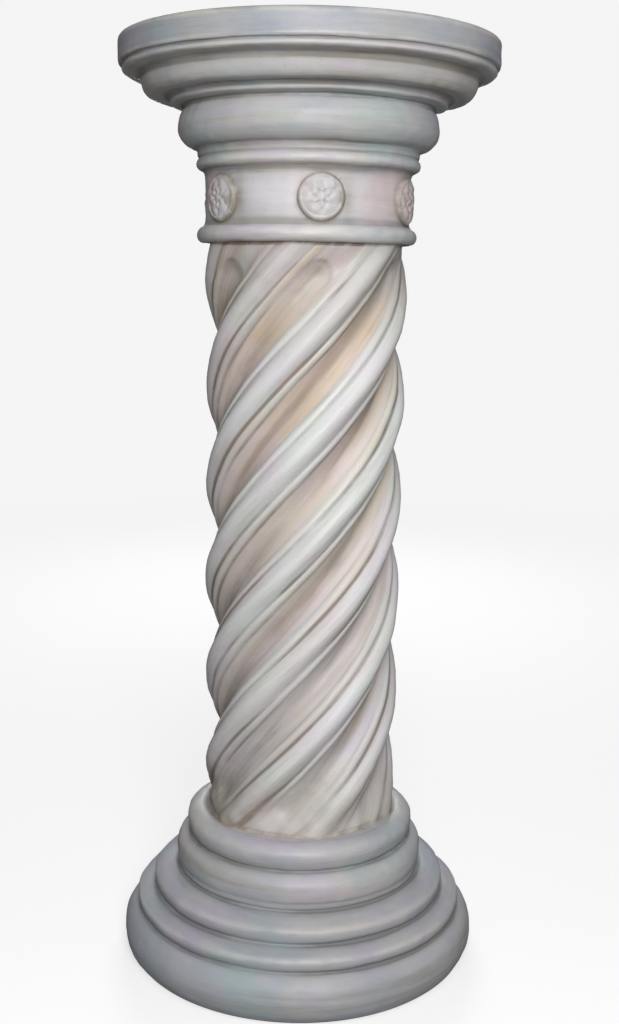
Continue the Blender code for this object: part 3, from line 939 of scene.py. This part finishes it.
def warm_shaft(finish, noise):
    """Pale reeds, tan and pink flutes that cool towards the foot, warmer beads, a dusty foot, and a head
    darkened by painted shade and dirt under the astragal.
    """
    warmth = finish.spread(noise.height, *WARM_HEIGHTS)
    pale = finish.layered(
        paint(206, 210, 207),
        (finish.spread(noise.tints, 0.44, 0.58), paint(210, 206, 211)),
        (finish.spread(noise.drifts, 0.52, 0.66) * (warmth * 0.6 + 0.2), paint(214, 199, 196)))
    tan = finish.layered(
        paint(209, 188, 162),
        (finish.spread(noise.tints, 0.42, 0.58), paint(214, 196, 188)),
        (finish.spread(noise.drifts, 0.50, 0.64) * 0.9, paint(204, 196, 190)),
        (finish.spread(noise.clouds, 0.50, 0.40) * 0.6, paint(208, 197, 168)))
    cool = finish.blend(finish.spread(noise.drifts, 0.42, 0.60), paint(196, 191, 198), paint(202, 196, 190))
    flute = finish.blend(warmth * (finish.spread(noise.strokes, 0.25, 0.60) * 0.5 + 0.5), cool, tan)
    bead = finish.blend(warmth, paint(196, 192, 190), paint(212, 202, 182))
    tone = finish.layered(
        pale,
        (finish.number("flute") * 0.92, flute),
        (finish.number("bead") * finish.spread(noise.drifts, 0.36, 0.60) * 0.8, bead),
        (finish.number("reed") * 0.3, paint(214, 214, 213)))
    # Painted shade and dirt darken the head of the shaft under the astragal.
    tone = finish.tinted(tone, (finish.spread(noise.height, *SHAFT_HEAD_SHADE_HEIGHTS), paint(238, 233, 230)))
    dusty = finish.blend(finish.spread(noise.strokes, 0.4, 0.6), paint(158, 149, 131), paint(190, 184, 174))
    dust = finish.number("foot") * (finish.spread(noise.clouds, 0.42, 0.58) * 0.6 + noise.drifts * 1.2)
    return finish.blend(dust.clipped() * 0.9, tone, dusty)


# %% Wash, painted shade and wear


def wash_and_painted_shade(finish, noise, on_shaft, tone):
    """Adds painted shade on the parts that face down and in broad hollows, a broken dark line of wash and
    painted shade in each crease, and dust round the rosettes.
    """
    patchy = finish.spread(noise.clouds, 0.36, 0.60) * 0.6
    patchy = patchy + finish.spread(noise.drifts, 0.40, 0.62) * 0.5 + 0.2
    brown = finish.spread(noise.tints, 0.44, 0.60)
    brown_cap = brown * (finish.spread(noise.height, *CAP_HEIGHTS) * 0.8 + 0.2)
    painted_shade_tone = finish.blend(brown_cap, paint(133, 137, 130), paint(134, 127, 108))
    painted_shade_tone = finish.blend(on_shaft, painted_shade_tone, paint(150, 134, 122))
    # Painted shade on the parts that face down and in broad hollows, brown in patches.
    painted_shade = (finish.number("painted_shade_mask") * patchy).clipped()
    line_tone = finish.blend(brown_cap, paint(94, 96, 101), paint(110, 105, 95))
    shaft_line_tone = finish.blend(brown, paint(112, 105, 100), paint(124, 108, 92))
    line_tone = finish.blend(on_shaft, line_tone, shaft_line_tone)
    broken = finish.spread(noise.strokes, 0.38, 0.58) * 0.7 + 0.55
    # Crease: a broken dark line of wash and painted shade.
    crease = (finish.spread(finish.number("hollow"), 0.04, 0.80) * (patchy * 0.85 + 0.1) * broken).clipped()
    dust = (finish.number("halo") * (finish.spread(noise.strokes, 0.3, 0.6) * 0.6 + 0.5)).clipped()
    tone = finish.layered(
        tone,
        (painted_shade * (0.52 - on_shaft * 0.22), painted_shade_tone),
        (crease * (on_shaft * 0.22 + 0.58), line_tone),
        (dust * 0.9, paint(132, 124, 108)))
    return tone, crease


def antique_wash_and_painted_shade():
    """Base colour in layers: paint with painted shade on base, rim and shaft head, brush strokes, painted
    shade below and in broad hollows, wash and painted shade in the creases, rubbed edges.
    """
    finish = Finish("antique_wash_and_painted_shade")
    noise = shared_noises(finish)
    on_shaft = finish.number("shaft")
    tone = finish.blend(on_shaft, cool_mouldings(finish, noise), warm_shaft(finish, noise))
    streaks = finish.spread(noise.strokes, 0.46, 0.68) * 0.5
    streaks = streaks + finish.spread(noise.fine_strokes, 0.5, 0.7) * 0.25
    streak_tone = finish.blend(on_shaft, paint(230, 230, 234), paint(218, 208, 202))
    tone = finish.tinted(tone, (streaks, streak_tone))
    tone, crease = wash_and_painted_shade(finish, noise, on_shaft, tone)
    rubbed = finish.spread(finish.number("proud"), 0.22, 0.75)
    rubbed = rubbed * finish.spread(noise.fine_strokes, 0.35, 0.6) * 0.45
    tone = finish.layered(
        tone,
        (rubbed * (on_shaft * 0.4 + 0.6), paint(222, 218, 207)),
        (finish.spread(noise.grain, 0.60, 0.74) * 0.2, paint(120, 112, 104)))
    rough = (0.38 + crease * 0.32 + noise.strokes * 0.22 - rubbed * 0.08).clipped()
    relief = noise.strokes * 0.30 + noise.fine_strokes * 0.25 + noise.grain * 0.45
    bump = finish.node("ShaderNodeBump", {}, {"Strength": 0.35, "Distance": 0.0012, "Height": relief})
    finish.shade({"Base Color": tone, "Roughness": rough, "Normal": bump, "Specular IOR Level": 0.4})
    return finish.material


stone = antique_wash_and_painted_shade()
for piece in [casting] + rosettes:
    piece.data.materials.append(stone)
    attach(piece, "root")
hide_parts("pedestal")
print("finish: %d nodes" % len(stone.node_tree.nodes))

# %% [markdown]
# ## The floor
# The pedestal stands on a pale studio floor. Near the pedestal it is matt and takes a soft shadow;
# further off it fades into the even tone of the room, so that no horizon shows.

# %% Floor
STUDIO_RADIUS = 9.0
FLOOR_SIDES = 96
FADE_START, FADE_END = 0.5, 3.0
ROOM_TONE = (0.91, 0.91, 0.91, 1.0)
NEAR_GLOW = (0.62, 0.62, 0.62, 1.0)
NEAR_TONE = (0.42, 0.42, 0.42, 1.0)
FAR_TONE = (0.0, 0.0, 0.0, 1.0)


def floor_piece():
    """A flat disc: one ring of points round the middle. It takes the shadow but throws no light back."""
    angle = np.arange(FLOOR_SIDES) * math.tau / FLOOR_SIDES
    ring = np.column_stack([np.cos(angle), np.sin(angle), np.zeros(FLOOR_SIDES)]) * STUDIO_RADIUS
    mesh = bpy.data.meshes.new("studio_floor")
    mesh.from_pydata(ring.tolist(), [], [list(range(FLOOR_SIDES))])
    piece = bpy.data.objects.new("studio_floor", mesh)
    piece.visible_diffuse = False
    piece.visible_glossy = False
    bpy.context.scene.collection.objects.link(piece)
    return piece


def floor_finish():
    """Matt and dim near the pedestal, and glowing like the room far from it."""
    finish = Finish("pale_floor")
    spot = finish.node("ShaderNodeTexCoord", {}, {}, "Object")
    away = finish.node("ShaderNodeVectorMath", {"operation": "LENGTH"}, {0: spot}, "Value")
    far = finish.spread(away, FADE_START, FADE_END)
    finish.shade({"Base Color": finish.blend(far, NEAR_TONE, FAR_TONE), "Roughness": 0.9,
                  "Emission Color": finish.blend(far, NEAR_GLOW, ROOM_TONE), "Emission Strength": 1.0,
                  "Specular IOR Level": 0.1})
    return finish.material


floor = floor_piece()
floor.data.materials.append(floor_finish())
print("floor: a disc of %.0f m" % STUDIO_RADIUS)

# %% [markdown]
# ## The lights
# A large soft light in front and a little to the right shapes the pedestal, so that its left side
# is darker. A weak one from above keeps the shoulders clear. A third stands behind, for whoever
# walks round, and the room itself gives a dim light from everywhere.

# %% Lights
LIGHTS = (
    # name, place, target, size in metres, watts
    ("front_soft", (0.12, -1.55, 0.95), (0.0, 0.0, 0.66), 0.6, 22.0),
    ("top_soft", (0.1, -1.2, 2.3), (0.0, 0.0, 0.3), 1.0, 10.0),
    ("back_soft", (0.0, 2.2, 1.3), (0.0, 0.0, 0.5), 1.0, 26.0),
)
ROOM_FILL = 0.17


def soft_light(name, place, target, size, power):
    """A square area light at a place, turned so that it faces its target."""
    data = bpy.data.lights.new(name, "AREA")
    data.size = size
    data.energy = power
    lamp = bpy.data.objects.new(name, data)
    lamp.location = place
    lamp.rotation_euler = (Vector(target) - Vector(place)).to_track_quat("-Z", "Y").to_euler()
    bpy.context.scene.collection.objects.link(lamp)


def room_light():
    """A pale room as the camera sees it, and a dimmer one as it lights the stone."""
    world = bpy.data.worlds.new("studio_room")
    bpy.context.scene.world = world
    world.use_nodes = True
    tree = world.node_tree
    background = tree.nodes["Background"]
    background.inputs["Color"].default_value = ROOM_TONE
    path = tree.nodes.new("ShaderNodeLightPath")
    strength = tree.nodes.new("ShaderNodeMapRange")
    strength.inputs["To Min"].default_value = ROOM_FILL
    strength.inputs["To Max"].default_value = 1.0
    tree.links.new(path.outputs["Is Camera Ray"], strength.inputs["Value"])
    tree.links.new(strength.outputs["Result"], background.inputs["Strength"])


for light in LIGHTS:
    soft_light(*light)
room_light()
bpy.context.scene.view_settings.view_transform = "Standard"
